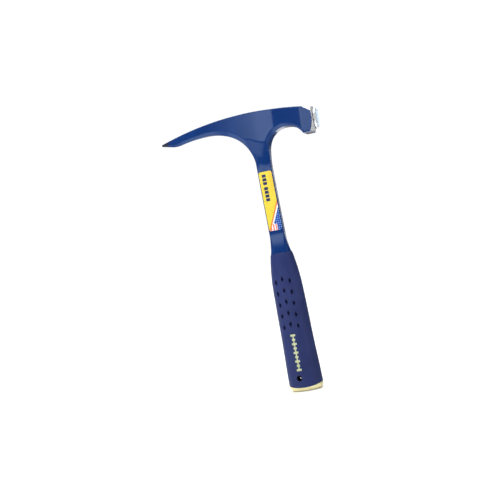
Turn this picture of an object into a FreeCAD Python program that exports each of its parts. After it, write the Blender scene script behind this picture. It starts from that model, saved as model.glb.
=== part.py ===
"""One-piece forged rock hammer with a pointed pick, a square striking poll and a moulded grip.

Frame, in millimetres: the origin is the centre of the small flat on the butt, +Z runs up the
handle to the head, +X points to the striking face and -X to the pick, and Y is the thickness.
The hammer is one forging from the pick to the end of the tang.  A hard core is moulded round
the tang, a soft grip over the core, and an end cap closes both over the end of the tang.
"""
import FreeCAD, Part
import math
import os
import Sketcher

doc = FreeCAD.newDocument("rock_hammer")

# Driving dimensions: millimetres and degrees.
DIMENSIONS = {
    # the top edge of the head is one large arc
    "overall_length": 330.0,
    "crest_x": -18.0,
    "crest_radius": 395.0,
    # pick
    "tip_x": -120.2,
    "tip_half_width": 0.6,
    "tip_under_z": 314.4,
    "point_x": -108.0,
    "point_z": 311.4,
    "belly_x": -96.0,
    "belly_z": 310.9,
    "belly_radius": 30.0,
    "pick_hollow_radius": 180.0,
    "arch_peak_x": -62.0,
    "arch_peak_z": 314.1,
    "arch_radius": 62.0,
    "arch_turn": 31.2,
    "eye_half_width": 9.8,
    "eye_start_x": 2.0,
    "eye_end_x": 21.0,
    # striking poll, whose axis is tilted a little towards the handle
    "face_x": 72.5,
    "face_z": 307.9,
    "face_tilt": 3.5,
    "face_radius": 12.1,
    "rim_depth": 3.0,
    "rim_drop": 1.5,
    "rim_reach": 2.0,
    "bevel_angle": 63.4,
    "corner_radius": 15.2,
    "corner_angle": 20.8,
    "bevel_reach": 30.0,
    "poll_half_width": 14.25,
    "crease_x": 55.5,
    "heel_x": 55.0,
    "heel_bend_z": 256.0,
    "heel_bend_radius": 228.0,
    "heel_bend_turn": 7.05,
    "heel_arch_radius": 23.7,
    # shank and the scoops that thin the head down to it
    "shank_half_width": 8.8,
    "shank_half_thickness": 4.75,
    "scoop_top_z": 293.5,
    "scoop_radius": 80.0,
    "shank_edge_radius": 0.5,
    # shoulder, where the shank swells to meet the grip, and the tang inside the grip
    "shoulder_top_z": 186.0,
    "shoulder_mid_z": 174.0,
    "shoulder_mid_half_width": 10.1,
    "shoulder_mid_half_thickness": 5.9,
    "shoulder_mid_corner": 3.6,
    "grip_top_z": 161.0,
    "shoulder_half_width": 12.9,
    "shoulder_half_thickness": 8.1,
    "shoulder_corner": 7.9,
    "tang_half_thickness": 2.5,
    "tang_end_z": 3.0,
    # grip: half widths and half thicknesses at its stations
    "grip_z1": 12.0,
    "grip_a1": 20.1,
    "grip_b1": 14.4,
    "grip_z2": 60.0,
    "grip_a2": 18.8,
    "grip_b2": 13.7,
    "grip_z3": 105.0,
    "grip_a3": 18.1,
    "grip_b3": 13.3,
    "grip_z4": 132.0,
    "grip_a4": 17.2,
    "grip_b4": 12.7,
    "grip_z5": 150.0,
    "grip_a5": 15.2,
    "grip_b5": 10.9,
    "grip_a6": 13.4,
    "grip_b6": 9.0,
    "grip_end_share": 0.92,
    "butt_edge_radius": 7.0,
    "core_half_width": 10.5,
    "core_half_thickness": 5.5,
    "core_top_z": 155.0,
    "core_end_z": 8.0,
    "cap_joint_z": 4.6,
    "cap_joint_radius": 74.0,
    "joint_half_width": 21.0,
    # lozenge pockets of the grip
    "lozenge_bottom_z": 79.5,
    "lozenge_pitch": 13.2,
    "lozenge_middle_x": -1.8,
    "lozenge_column_x": 8.4,
    "lozenge_drop": 3.0,
    "lozenge_half_width": 1.45,
    "lozenge_half_height": 3.2,
    "lozenge_floor_y": 11.9,
    # lanyard hole
    "lanyard_x": -3.4,
    "lanyard_z": 16.0,
    "lanyard_radius": 3.1,
    # labels on the flats of the shank
    "label_half_width": 7.8,
    "label_bottom_z": 189.5,
    "label_top_z": 259.0,
    "label_corner": 2.2,
    "label_thickness": 0.2,
    # graduated mark let into the grip
    "mark_x": -1.8,
    "mark_top_z": 67.5,
    "mark_bottom_z": 24.5,
    "mark_half_width": 2.9,
    "mark_spine_half_width": 0.7,
    "mark_short_half_width": 1.9,
    "mark_bar_height": 2.4,
    "mark_floor_y": 13.3,
    "mark_proud": 0.12,
    "mark_blank": 2.0,
    # how far the cutting sketches reach past the metal
    "spare": 5.0,
    "overlap": 1.0,
    "far": 40.0,
}
MARK_LONG_BARS = 5
LOZENGE_ROWS = 5


def make_sheet():
    """Writes the driving dimensions to the spreadsheet, one aliased row each."""
    page = doc.addObject("Spreadsheet::Sheet", "Dimensions")
    for row, (name, number) in enumerate(DIMENSIONS.items(), start=1):
        page.set(f"A{row}", name)
        page.set(f"B{row}", repr(number))
        page.setAlias(f"B{row}", name)
    doc.recompute()
    return page


sheet = make_sheet()


def bound(formula):
    """Turns words of a formula that are aliases into references to the spreadsheet."""
    words = []
    word = ""
    for letter in formula + " ":
        if letter.isalnum() or letter == "_":
            word += letter
            continue
        words.append("Dimensions." + word if word in DIMENSIONS else word)
        words.append(letter)
        word = ""
    return "".join(words).strip()


def size(formula):
    """The number that a formula of spreadsheet aliases gives."""
    return float(sheet.evalExpression(bound(formula)))


# Formulas that several sketches share.
TOP_CENTRE_Z = "(overall_length - crest_radius)"
TIP_TOP_Z = f"({TOP_CENTRE_Z} + sqrt(crest_radius^2 - (tip_x - crest_x)^2))"
TURN_X = "(arch_peak_x + arch_radius * sin(arch_turn))"
TURN_Z = "(arch_peak_z - arch_radius * (1 - cos(arch_turn)))"
NECK_RADIUS = f"((-shank_half_width - {TURN_X}) / (1 - sin(arch_turn)))"
NECK_END_Z = f"({TURN_Z} - {NECK_RADIUS} * cos(arch_turn))"
HEEL_TURN_X = "(shank_half_width + heel_bend_radius * (1 - cos(heel_bend_turn)))"
HEEL_TURN_Z = "(heel_bend_z + heel_bend_radius * sin(heel_bend_turn))"
HEEL_CENTRE_X = f"({HEEL_TURN_X} + heel_arch_radius * cos(heel_bend_turn))"
HEEL_CENTRE_Z = f"({HEEL_TURN_Z} - heel_arch_radius * sin(heel_bend_turn))"
HEEL_Z = f"({HEEL_CENTRE_Z} + sqrt(heel_arch_radius^2 - (heel_x - {HEEL_CENTRE_X})^2))"
SCOOP_DEPTH = "(eye_half_width - shank_half_thickness)"
SCOOP_END_Z = f"(scoop_top_z - sqrt(2 * scoop_radius * {SCOOP_DEPTH} - {SCOOP_DEPTH}^2))"
MARK_SLOPE = "((grip_b2 - grip_b1) / (grip_z2 - grip_z1))"
MARK_STEP = "((mark_top_z - mark_bottom_z - mark_bar_height) / 4)"


def face_point(height):
    """A point of the striking face's edge, `height` from its centre along the tilted face."""
    x = f"(face_x + {height} * sin(face_tilt))"
    z = f"(face_z + {height} * cos(face_tilt))"
    return x, z


def face_top():
    """Height above the face's centre where the tilted face meets the arc of the top."""
    along = f"((face_x - crest_x) * sin(face_tilt) + (face_z - {TOP_CENTRE_Z}) * cos(face_tilt))"
    rest = f"((face_x - crest_x)^2 + (face_z - {TOP_CENTRE_Z})^2 - crest_radius^2)"
    return f"(sqrt({along}^2 - {rest}) - {along})"


def new_body(name):
    body = doc.addObject("PartDesign::Body", name)
    body.Label = name
    return body


def origin_item(body, role):
    """One of a body's own origin planes or axes, found by its role."""
    return next(item for item in body.Origin.OriginFeatures if item.Role == role)


def vector(point):
    return FreeCAD.Vector(size(point[0]), size(point[1]), 0)


def arc_between(start, end, radius):
    """Arc of less than half a turn from start to end; a negative radius turns it clockwise."""
    if radius < 0:
        return arc_between(end, start, -radius)
    chord = end - start
    middle = (start + end) * 0.5
    left = FreeCAD.Vector(-chord.y, chord.x, 0).normalize()
    centre = middle + left * math.sqrt(radius ** 2 - chord.Length ** 2 / 4)
    first = math.atan2(start.y - centre.y, start.x - centre.x)
    last = math.atan2(end.y - centre.y, end.x - centre.x)
    circle = Part.Circle(centre, FreeCAD.Vector(0, 0, 1), radius)
    return Part.ArcOfCircle(circle, first, last)


def bind(sketch, rule, formula):
    """Adds a constraint to a sketch and binds its number to a formula of the spreadsheet."""
    number = sketch.addConstraint(rule)
    sketch.setExpression(f"Constraints[{number}]", bound(formula))


def start_mark(step):
    """Sketcher's mark for an edge's start in drawing order; clockwise arcs are stored reversed."""
    return 2 if len(step) == 3 and size(step[2]) < 0 else 1


def draw_loop(sketch, steps):
    """Draws a closed outline.  Each step is (x, y) or (x, y, radius), all of them formulas: the
    corner where an edge starts and, where the edge is an arc, its signed radius.  Every corner
    and every radius is a constraint bound to the spreadsheet."""
    first = sketch.GeometryCount
    for step, following in zip(steps, steps[1:] + steps[:1]):
        if len(step) == 2:
            edge = Part.LineSegment(vector(step), vector(following))
        else:
            edge = arc_between(vector(step), vector(following), size(step[2]))
        sketch.addGeometry(edge, False)
    for index, step in enumerate(steps):
        edge = first + index
        mark = start_mark(step)
        previous = (index - 1) % len(steps)
        previous_end = 3 - start_mark(steps[previous])
        sketch.addConstraint(
            Sketcher.Constraint("Coincident", first + previous, previous_end, edge, mark))
        for direction, formula in (("DistanceX", step[0]), ("DistanceY", step[1])):
            rule = Sketcher.Constraint(direction, -1, 1, edge, mark, size(formula))
            bind(sketch, rule, formula)
        if len(step) == 3:
            rule = Sketcher.Constraint("Radius", edge, abs(size(step[2])))
            bind(sketch, rule, f"abs({step[2]})")


def draw_circle(sketch, x, y, radius):
    """Draws a circle whose centre and radius are bound to the spreadsheet."""
    circle = Part.Circle(vector((x, y)), FreeCAD.Vector(0, 0, 1), size(radius))
    edge = sketch.addGeometry(circle, False)
    bind(sketch, Sketcher.Constraint("DistanceX", -1, 1, edge, 3, size(x)), x)
    bind(sketch, Sketcher.Constraint("DistanceY", -1, 1, edge, 3, size(y)), y)
    bind(sketch, Sketcher.Constraint("Radius", edge, size(radius)), radius)


def new_sketch(body, name, role, loops=(), offset=None):
    """A sketch on one of the body's origin planes, `offset` along the plane's normal."""
    sketch = body.newObject("Sketcher::SketchObject", name)
    sketch.AttachmentSupport = [(origin_item(body, role), "")]
    sketch.MapMode = "FlatFace"
    if offset is not None:
        sketch.setExpression(".AttachmentOffset.Base.z", bound(offset))
    for steps in loops:
        draw_loop(sketch, steps)
    doc.recompute()
    return sketch


def new_pad(body, name, sketch, length, symmetric=False, reverse=False):
    pad = body.newObject("PartDesign::Pad", name)
    pad.Profile = sketch
    pad.SideType = "Symmetric" if symmetric else "One side"
    pad.Reversed = reverse
    pad.setExpression("Length", bound(length))
    doc.recompute()
    return pad


def must_shrink(feature, before):
    if not feature.Shape.Volume < before - 1e-6:
        raise RuntimeError(f"{feature.Name} cut nothing")


def new_pocket(body, name, sketch, sides="Symmetric", reverse=False, length=None):
    """Cuts a sketch to a length, or else through everything, and makes sure that it cut."""
    before = body.Shape.Volume
    pocket = body.newObject("PartDesign::Pocket", name)
    pocket.Profile = sketch
    pocket.Type = "Length" if length else "ThroughAll"
    pocket.SideType = sides
    pocket.Reversed = reverse
    if length:
        pocket.setExpression("Length", bound(length))
    doc.recompute()
    must_shrink(pocket, before)
    return pocket


def repeat_up(body, name, feature, step, count):
    """Repeats a feature `count` times up the Z axis, `step` apart."""
    pattern = body.newObject("PartDesign::LinearPattern", name)
    pattern.Originals = [feature]
    pattern.Direction = (origin_item(body, "Z_Axis"), [""])
    pattern.Mode = "Spacing"
    pattern.setExpression("Offset", bound(step))
    pattern.Occurrences = count
    body.Tip = pattern
    doc.recompute()
    return pattern


def across(steps):
    """An outline mirrored across its vertical axis and drawn the same way round."""
    following = steps[1:] + steps[:1]
    turned = [(f"-({corner[0]})", corner[1]) + tuple(step[2:])
              for step, corner in zip(steps, following)]
    return turned[::-1]


def below(steps):
    """An outline mirrored across its horizontal axis and drawn the same way round."""
    following = steps[1:] + steps[:1]
    turned = [(corner[0], f"-({corner[1]})") + tuple(step[2:])
              for step, corner in zip(steps, following)]
    return turned[::-1]


def oval(half_width, half_thickness):
    """Four tangent arcs: round ends, and slightly crowned faces between them."""
    end = f"(grip_end_share * {half_thickness})"
    face = (f"(({half_width}^2 + {half_thickness}^2 - 2 * {half_width} * {end})"
            f" / (2 * ({half_thickness} - {end})))")
    x = f"({face} * ({half_width} - {end}) / ({face} - {end}))"
    y = f"({face} * ({face} - {half_thickness}) / ({face} - {end}) - ({face} - {half_thickness}))"
    return [(x, "-" + y, end), (x, y, face), ("-" + x, y, end), ("-" + x, "-" + y, face)]


def rounded_box(half_width, half_height, corner, middle="0"):
    """A rectangle about (0, middle) with four round corners."""
    x = f"({half_width} - {corner})"
    low = f"({middle} - {half_height})"
    high = f"({middle} + {half_height})"
    return [
        (x, low, corner),
        (half_width, f"{low} + {corner}"),
        (half_width, f"{high} - {corner}", corner),
        (x, high),
        ("-" + x, high, corner),
        (f"-{half_width}", f"{high} - {corner}"),
        (f"-{half_width}", f"{low} + {corner}", corner),
        ("-" + x, low),
    ]


def box(left, low, right, high):
    return [(left, low), (right, low), (right, high), (left, high)]


def side_profile():
    """The forging seen from the front, anticlockwise from the tip of the pick."""
    return [
        ("tip_x", "tip_under_z"),
        ("point_x", "point_z", "belly_radius"),
        ("belly_x", "belly_z", "-pick_hollow_radius"),
        ("arch_peak_x", "arch_peak_z", "-arch_radius"),
        (TURN_X, TURN_Z, "-" + NECK_RADIUS),
        ("-shank_half_width", NECK_END_Z),
        ("-shank_half_width", "tang_end_z"),
        ("shank_half_width", "tang_end_z"),
        ("shank_half_width", "heel_bend_z", "-heel_bend_radius"),
        (HEEL_TURN_X, HEEL_TURN_Z, "-heel_arch_radius"),
        ("heel_x", HEEL_Z),
        face_point(f"(({HEEL_Z} - face_z) / cos(face_tilt))"),
        face_point(face_top()) + ("crest_radius",),
        ("tip_x", TIP_TOP_Z),
    ]


def plan_waste():
    """What is trimmed from the +Y side of the head, seen from above."""
    return [
        ("tip_x - spare", "tip_half_width"),
        ("tip_x", "tip_half_width"),
        ("eye_start_x", "eye_half_width"),
        ("eye_end_x", "eye_half_width"),
        ("crease_x", "poll_half_width"),
        ("face_x + spare", "poll_half_width"),
        ("face_x + spare", "far"),
        ("tip_x - spare", "far"),
    ]


def thickness_waste():
    """What is trimmed from the +Y side of neck, shank and tang, seen along X."""
    return [
        ("eye_half_width", "scoop_top_z", "scoop_radius"),
        ("shank_half_thickness", SCOOP_END_Z),
        ("shank_half_thickness", "shoulder_top_z"),
        ("tang_half_thickness", "shoulder_top_z"),
        ("tang_half_thickness", "tang_end_z - overlap"),
        ("far", "tang_end_z - overlap"),
        ("far", "scoop_top_z"),
    ]


def near(first, second):
    return abs(first - second) < 0.01


def dress_edges(body, kind, name, wanted, amount):
    """Chamfers or rounds the edges that `wanted` picks by the middle point of each."""
    names = []
    base = body.Tip
    for number, edge in enumerate(base.Shape.Edges, start=1):
        middle = edge.valueAt((edge.FirstParameter + edge.LastParameter) / 2)
        if wanted(edge, middle):
            names.append(f"Edge{number}")
    feature = body.newObject(kind, name)
    feature.Base = (base, names)
    feature.setExpression("Radius" if kind.endswith("Fillet") else "Size", bound(amount))
    doc.recompute()
    must_shrink(feature, base.Shape.Volume)


def make_forging():
    """Head, neck, shank, shoulder and tang in one piece."""
    body = new_body("steel_forging")
    side = new_sketch(body, "side_profile", "XZ_Plane", [side_profile()])
    new_pad(body, "side_blank", side, "2 * poll_half_width + spare", symmetric=True)
    plan = new_sketch(body, "plan_waste", "XY_Plane", [plan_waste(), below(plan_waste())])
    new_pocket(body, "plan_trim", plan)
    thickness = new_sketch(
        body, "thickness_waste", "YZ_Plane", [thickness_waste(), across(thickness_waste())])
    new_pocket(body, "thickness_trim", thickness)
    make_bevel(body)
    make_shoulder(body)
    cut_lanyard(body)
    return body


def poll_point(back, up):
    """A point `back` from the face along the poll's axis and `up` from that axis."""
    x = f"(face_x - ({back}) * cos(face_tilt) + ({up}) * sin(face_tilt))"
    z = f"(face_z + ({back}) * sin(face_tilt) + ({up}) * cos(face_tilt))"
    return x, z


def turn_off(body, name, corners, sweep):
    """Turns a section, given by (back, up) corners, off the poll about its tilted axis.  A sweep
    of less than 360 degrees is centred on the section, so it trims the upper side only."""
    sketch = new_sketch(body, name + "_section", "XZ_Plane", [[poll_point(*c) for c in corners]])
    ends = (poll_point("0", "0"), poll_point("spare", "0"))
    line = sketch.addGeometry(Part.LineSegment(vector(ends[0]), vector(ends[1])), True)
    for mark, point in zip((1, 2), ends):
        for direction, formula in (("DistanceX", point[0]), ("DistanceY", point[1])):
            rule = Sketcher.Constraint(direction, -1, 1, line, mark, size(formula))
            bind(sketch, rule, formula)
    doc.recompute()
    before = body.Shape.Volume
    groove = body.newObject("PartDesign::Groove", name)
    groove.Profile = sketch
    groove.ReferenceAxis = (sketch, ["Axis0"])
    groove.Angle = sweep
    groove.Midplane = sweep < 360
    doc.recompute()
    must_shrink(groove, before)


def make_bevel(body):
    """The face with its rim, the steep bevel round it, and the cone on the two upper corners."""
    turn_off(body, "face_bevel", [
        ("-rim_reach", "face_radius - rim_drop * (rim_depth + rim_reach) / rim_depth"),
        ("-rim_reach", "bevel_reach"),
        ("rim_depth + (bevel_reach - face_radius) / tan(bevel_angle)", "bevel_reach"),
        ("rim_depth", "face_radius"),
    ], 360)
    turn_off(body, "corner_cone", [
        ("-rim_reach", "corner_radius - (rim_depth + rim_reach) * tan(corner_angle)"),
        ("-rim_reach", "bevel_reach"),
        ("rim_depth + (bevel_reach - corner_radius) / tan(corner_angle)", "bevel_reach"),
    ], 180)


def make_shoulder(body):
    """The swelling between the shank and the grip."""
    sections = (
        ("shank_half_width", "shank_half_thickness", "shank_edge_radius", "shoulder_top_z"),
        ("shoulder_mid_half_width", "shoulder_mid_half_thickness", "shoulder_mid_corner",
         "shoulder_mid_z"),
        ("shoulder_half_width", "shoulder_half_thickness", "shoulder_corner", "grip_top_z"),
    )
    sketches = []
    for number, (width, thickness, corner, level) in enumerate(sections, start=1):
        sketches.append(new_sketch(
            body, f"shoulder_section_{number}", "XY_Plane",
            [rounded_box(width, thickness, corner)], level))
    loft = body.newObject("PartDesign::AdditiveLoft", "shoulder")
    loft.Profile = sketches[0]
    loft.Sections = sketches[1:]
    doc.recompute()


def cut_lanyard(body):
    """The lanyard hole, straight through along Y."""
    hole = new_sketch(body, "lanyard_circle", "XZ_Plane")
    draw_circle(hole, "lanyard_x", "lanyard_z", "lanyard_radius")
    new_pocket(body, "lanyard_bore", hole)


def cut_upwards(body, name, outline, level):
    """Cuts an outline from a level up through everything above it."""
    sketch = new_sketch(body, name + "_outline", "XY_Plane", [outline], level)
    new_pocket(body, name, sketch, "One side", reverse=True)


def tang_outline():
    return box("-shank_half_width", "-tang_half_thickness", "shank_half_width",
               "tang_half_thickness")


def core_outline():
    return oval("core_half_width", "core_half_thickness")


def make_core():
    """The hard core between tang and grip."""
    body = new_body("grip_core")
    outline = new_sketch(body, "core_section", "XY_Plane", [core_outline()], "core_end_z")
    new_pad(body, "core_blank", outline, "core_top_z - core_end_z")
    cut_upwards(body, "tang_room", tang_outline(), "tang_end_z")
    cut_lanyard(body)
    return body


def cap_joint(far):
    """What lies beyond the arched joint of cap and grip, up or down to the height `far`."""
    side = "(cap_joint_z + cap_joint_radius - sqrt(cap_joint_radius^2 - joint_half_width^2))"
    outline = [
        ("-joint_half_width", side, "cap_joint_radius"),
        ("joint_half_width", side),
        ("joint_half_width", far),
        ("-joint_half_width", far),
    ]
    return outline


def butt_blank(body, height):
    """The straight stretch at the butt, with its rounded lower edge."""
    outline = new_sketch(body, "butt_section", "XY_Plane", [oval("grip_a1", "grip_b1")])
    new_pad(body, "butt_pad", outline, height)

    def low_edges(edge, middle):
        return near(edge.BoundBox.ZMax, 0)

    dress_edges(body, "PartDesign::Fillet", "butt_round", low_edges, "butt_edge_radius")


def make_grip():
    """The soft grip: a rounded straight stretch at the butt, and a loft up to the shoulder."""
    body = new_body("vinyl_grip")
    butt_blank(body, "grip_z1")
    sketches = []
    for number in range(1, 7):
        level = f"grip_z{number}" if number < 6 else "grip_top_z"
        sketches.append(new_sketch(
            body, f"grip_section_{number}", "XY_Plane",
            [oval(f"grip_a{number}", f"grip_b{number}")], level))
    loft = body.newObject("PartDesign::AdditiveLoft", "grip_loft")
    loft.Profile = sketches[0]
    loft.Sections = sketches[1:]
    doc.recompute()
    joint = new_sketch(body, "cap_joint", "XZ_Plane", [cap_joint("-spare")])
    new_pocket(body, "cap_room", joint)
    cut_core_room(body)
    cut_lanyard(body)
    for side in (-1, 1):
        cut_lozenges(body, side)
        cut_mark_room(body, side)
    return body


def cut_core_room(body):
    """The room for the core, and above the core for the bare tang."""
    sketch = new_sketch(body, "core_room_outline", "XY_Plane", [core_outline()], "0")
    new_pocket(body, "core_room", sketch, "One side", reverse=True, length="core_top_z")
    cut_upwards(body, "tang_room", tang_outline(), "core_top_z - overlap")


def face_plane(side, distance):
    """Offset of a sketch on the XZ plane, whose normal is -Y, to the front (-1) or back (+1)."""
    return f"{-side} * {distance}"


def cut_lozenges(body, side):
    """Three columns of lozenge pockets on one face of the grip."""
    for column in (-1, 0, 1):
        x = f"(lozenge_middle_x + {column} * lozenge_column_x)"
        z = f"(lozenge_bottom_z - {abs(column)} * lozenge_drop)"
        outline = [
            (x, f"{z} - lozenge_half_height"),
            (f"{x} + lozenge_half_width", z),
            (x, f"{z} + lozenge_half_height"),
            (f"{x} - lozenge_half_width", z),
        ]
        name = f"lozenge_{'front' if side < 0 else 'back'}_{column + 2}"
        sketch = new_sketch(
            body, name, "XZ_Plane", [outline], face_plane(side, "lozenge_floor_y"))
        pocket = new_pocket(body, name + "_cut", sketch, "One side", reverse=side < 0)
        repeat_up(body, name + "_column", pocket, "lozenge_pitch", LOZENGE_ROWS)


def mark_shapes():
    """The graduated mark: a spine with long and short bars across it."""
    def bar(half_width, low, high):
        return box(f"mark_x - {half_width}", low, f"mark_x + {half_width}", high)

    spine = bar("mark_spine_half_width", "mark_bottom_z", "mark_top_z")
    long_bar = bar("mark_half_width", "mark_bottom_z", "mark_bottom_z + mark_bar_height")
    short_bottom = f"mark_bottom_z + {MARK_STEP} / 2"
    short_bar = bar("mark_short_half_width", short_bottom, f"{short_bottom} + mark_bar_height")
    return (("spine", spine, 1), ("long_bar", long_bar, MARK_LONG_BARS),
            ("short_bar", short_bar, MARK_LONG_BARS - 1))


def cut_mark_room(body, side):
    """The shallow recess that the mark fills."""
    face = "front" if side < 0 else "back"
    for name, outline, count in mark_shapes():
        sketch = new_sketch(body, f"{name}_{face}_room", "XZ_Plane", [outline],
                            face_plane(side, "mark_floor_y"))
        pocket = new_pocket(body, f"{name}_{face}_cut", sketch, "One side", reverse=side < 0)
        if count > 1:
            repeat_up(body, f"{name}_{face}_row", pocket, MARK_STEP, count)


def make_mark(face, side):
    """The mark let into one face of the grip, a trace proud of it."""
    body = new_body(f"grip_mark_{face}")
    for name, outline, count in mark_shapes():
        sketch = new_sketch(body, f"{name}_{face}", "XZ_Plane", [outline],
                            face_plane(side, "mark_floor_y"))
        pad = new_pad(body, f"{name}_{face}_pad", sketch, "mark_blank", reverse=side > 0)
        if count > 1:
            repeat_up(body, f"{name}_{face}_pads", pad, MARK_STEP, count)
    surface = f"(grip_b1 + mark_proud + {MARK_SLOPE} * ({{z}} - grip_z1))"
    low = surface.format(z="mark_bottom_z - overlap")
    high = surface.format(z="mark_top_z + overlap")
    outside = [
        (low, "mark_bottom_z - overlap"),
        ("far", "mark_bottom_z - overlap"),
        ("far", "mark_top_z + overlap"),
        (high, "mark_top_z + overlap"),
    ]
    if side < 0:
        outside = across(outside)
    trim = new_sketch(body, f"mark_{face}_outside", "YZ_Plane", [outside])
    new_pocket(body, f"mark_{face}_trim", trim)
    return body


def make_cap():
    """The butt cap: closes the core over the end of the tang, and carries a socket for it."""
    body = new_body("end_cap")
    butt_blank(body, "grip_z1")
    joint = new_sketch(body, "cap_joint_up", "XZ_Plane", [cap_joint("grip_z1 + spare")])
    new_pocket(body, "cap_trim", joint)
    spigot = new_sketch(body, "spigot_section", "XY_Plane", [core_outline()], "cap_joint_z - 2 * overlap")
    new_pad(body, "spigot", spigot, "core_end_z - cap_joint_z + 2 * overlap")
    cut_upwards(body, "tang_socket", tang_outline(), "tang_end_z")
    return body


def make_label(face, side):
    """A thin label stuck on one flat of the shank."""
    body = new_body(f"label_{face}")
    middle = "((label_top_z + label_bottom_z) / 2)"
    outline = rounded_box("label_half_width", "((label_top_z - label_bottom_z) / 2)",
                          "label_corner", middle)
    sketch = new_sketch(body, f"label_{face}_outline", "XZ_Plane", [outline],
                        face_plane(side, "shank_half_thickness"))
    new_pad(body, f"label_{face}_film", sketch, "label_thickness", reverse=side > 0)
    return body


def check(bodies):
    """Stops if any object of the document failed or any sub-part is not a good solid."""
    doc.recompute()
    for item in doc.Objects:
        bad = [state for state in item.State if state in ("Invalid", "Error")]
        if bad:
            raise RuntimeError(f"{item.Name} is {bad}")
    for body in bodies:
        if body.Shape.isNull() or not body.Shape.isValid():
            raise RuntimeError(f"{body.Label} has no valid shape")


def main():
    bodies = [make_forging(), make_core(), make_grip(), make_cap()]
    for face, side in (("front", -1), ("back", 1)):
        bodies.append(make_label(face, side))
        bodies.append(make_mark(face, side))
    check(bodies)
    os.makedirs("parts", exist_ok=True)
    for body in bodies:
        body.Shape.exportStep(f"parts/{body.Label}.step")
        bounds = body.Shape.BoundBox
        print(body.Label, round(body.Shape.Volume / 1000, 2), "cm3", bounds)


main()
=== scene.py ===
# %% [markdown]
# # A one-piece forged rock hammer
# The hammer is a single steel forging: a pointed pick on one side, a square striking poll on the
# other, and a flat shank whose tang runs down inside a moulded vinyl grip.  A cream cap closes the
# butt.  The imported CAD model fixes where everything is.  These cells keep its frame and its sizes,
# and rebuild each visible surface finely enough for light to run along it as on the real tool.

# %% Load the fixed model
import math

import bmesh
import bpy
import numpy as np
from mathutils import Matrix, Vector


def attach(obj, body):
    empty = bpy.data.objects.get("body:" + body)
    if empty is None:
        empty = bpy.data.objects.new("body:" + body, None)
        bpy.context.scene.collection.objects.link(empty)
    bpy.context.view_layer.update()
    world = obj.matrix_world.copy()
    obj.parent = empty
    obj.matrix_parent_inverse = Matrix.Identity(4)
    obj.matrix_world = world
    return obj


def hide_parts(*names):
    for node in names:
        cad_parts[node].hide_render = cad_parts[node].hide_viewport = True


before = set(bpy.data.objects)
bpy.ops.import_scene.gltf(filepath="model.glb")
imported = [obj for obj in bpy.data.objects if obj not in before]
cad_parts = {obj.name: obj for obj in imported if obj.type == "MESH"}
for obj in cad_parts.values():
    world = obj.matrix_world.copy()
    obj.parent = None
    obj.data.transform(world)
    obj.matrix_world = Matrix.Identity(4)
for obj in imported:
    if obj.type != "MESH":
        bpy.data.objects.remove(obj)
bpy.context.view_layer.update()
MM = 0.001
print("CAD nodes:", ", ".join(sorted(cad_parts)))

# %% [markdown]
# ## From arrays to a mesh
# Every piece below is worked out as whole arrays of points, in millimetres, on a grid of rows and
# columns.  Three small helpers are enough for all of them: one puts an object into the scene, one
# numbers the quads of a grid, and one joins several grids into one closed mesh.  Where two grids
# share an edge their points are the same, so merging doubles sews the seam, and the faces are
# then turned to point outwards.

# %% Helpers for grids
def new_object(name, data):
    """A new object in the scene, at the origin."""
    thing = bpy.data.objects.new(name, data)
    bpy.context.scene.collection.objects.link(thing)
    return thing


def grid_faces(rows, columns, first=0, wrap=False):
    """Quads between neighbouring points; point (i, j) has the number first + i * columns + j."""
    i, j = np.meshgrid(np.arange(rows - 1), np.arange(columns if wrap else columns - 1),
                       indexing="ij")
    right = (j + 1) % columns
    corners = (i * columns + j, i * columns + right, (i + 1) * columns + right,
               (i + 1) * columns + j)
    return first + np.stack(corners, axis=-1).reshape(-1, 4)


def sew(name, sheets, crease=35):
    """One closed mesh from sheets (X, Y, Z, wrap) of equal arrays, merged where they meet."""
    points = []
    faces = []
    count = 0
    for x, y, z, wrap in sheets:
        points.append(np.stack([x, y, z], axis=-1).reshape(-1, 3))
        faces.append(grid_faces(*x.shape, first=count, wrap=wrap))
        count += x.size
    mesh = bpy.data.meshes.new(name)
    mesh.from_pydata((np.concatenate(points) * MM).tolist(), [], np.concatenate(faces).tolist())
    shell = bmesh.new()
    shell.from_mesh(mesh)
    bmesh.ops.remove_doubles(shell, verts=shell.verts, dist=2e-6)
    bmesh.ops.dissolve_degenerate(shell, edges=shell.edges, dist=1e-7)
    bmesh.ops.recalc_face_normals(shell, faces=shell.faces)
    open_edges = sum(len(edge.link_faces) != 2 for edge in shell.edges)
    shell.to_mesh(mesh)
    shell.free()
    mesh.shade_smooth()
    mesh.set_sharp_from_angle(angle=math.radians(crease))
    piece = new_object(name, mesh)
    print(f"{name}: {len(mesh.polygons)} faces, {open_edges} open edges")
    return piece


# %% [markdown]
# ## Soft creases
# A drop forging under enamel has no razor edges.  Where two faces of the head meet, the smaller
# (or larger) of two formulas is taken, and the corner between them is rounded off.  That one idea,
# the smooth minimum, makes every facet of the head without any boolean cut.

# %% Smooth minimum, maximum and step
def soft_min(a, b, radius):
    """min(a, b), less radius / 4 where the two are equal, fading out where they differ more."""
    blend = np.maximum(radius - np.abs(a - b), 0) / radius
    return np.minimum(a, b) - blend ** 2 * radius / 4


def soft_max(a, b, radius):
    """The mirror image of soft_min."""
    return -soft_min(-a, -b, radius)


def soft_step(start, end, value):
    """0 before start, 1 after end, and 3t^2 - 2t^3 between them."""
    t = np.clip((value - start) / (end - start), 0, 1)
    return t * t * (3 - 2 * t)


def round_off(distance, radius):
    """How much a quarter circle of this radius takes off at a distance from an edge."""
    near = radius - np.clip(distance, 0, radius)
    return radius - np.sqrt(np.maximum(radius ** 2 - near ** 2, 0))


# %% [markdown]
# ## The outline of the forging
# Seen from the side, the head's top is one long arc.  The underside of the pick hollows into a
# quarter-round arch that runs tangent into the shank, and a smaller arch on the other side ends at
# the heel of the poll.  These are the same arcs as in the CAD model.

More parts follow.
